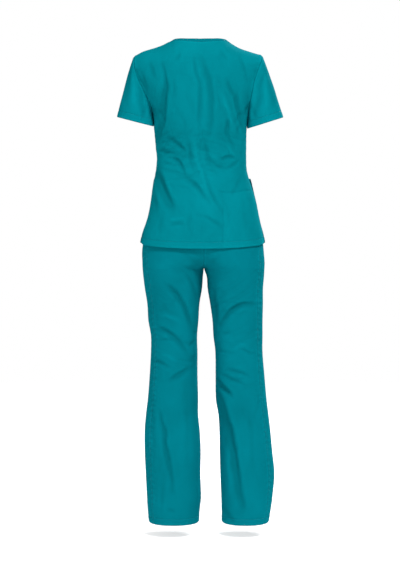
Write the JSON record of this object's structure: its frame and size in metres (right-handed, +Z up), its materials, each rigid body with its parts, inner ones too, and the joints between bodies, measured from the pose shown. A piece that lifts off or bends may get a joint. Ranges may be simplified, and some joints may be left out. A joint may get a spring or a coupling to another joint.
{
  "type": "medical scrubs",
  "caption": "Set of medical scrubs in worn form: a short-sleeved V-neck top with patch pockets and side vents over trousers with flared legs, hollow and open at neck, cuffs and hems.",
  "frame": {"origin": "middle of the shoulder line, level with the base of the neck, where the wearer carries the set", "axes": "+X the wearer's left, +Y the wearer's back, +Z up"},
  "size_m": [0.515, 0.2588, 1.5032],
  "materials": {
    "top_cloth": "fine smooth twill in teal, matt with a faint sheen",
    "band_cloth": "the top's twill, folded double as a narrow band",
    "trouser_cloth": "fine smooth twill in teal, matt with a faint sheen"
  },
  "bodies": {
    "root": {"top_back": "top_cloth", "top_front": "top_cloth", "neckband": "band_cloth", "sleeve_left": "top_cloth", "sleeve_right": "top_cloth", "top_pocket_left": "top_cloth", "top_pocket_right": "top_cloth", "leg_left_back": "trouser_cloth", "leg_left_front": "trouser_cloth", "leg_right_back": "trouser_cloth", "leg_right_front": "trouser_cloth", "waistband": "trouser_cloth", "trouser_pocket": "trouser_cloth"}
  },
  "joints": []
}
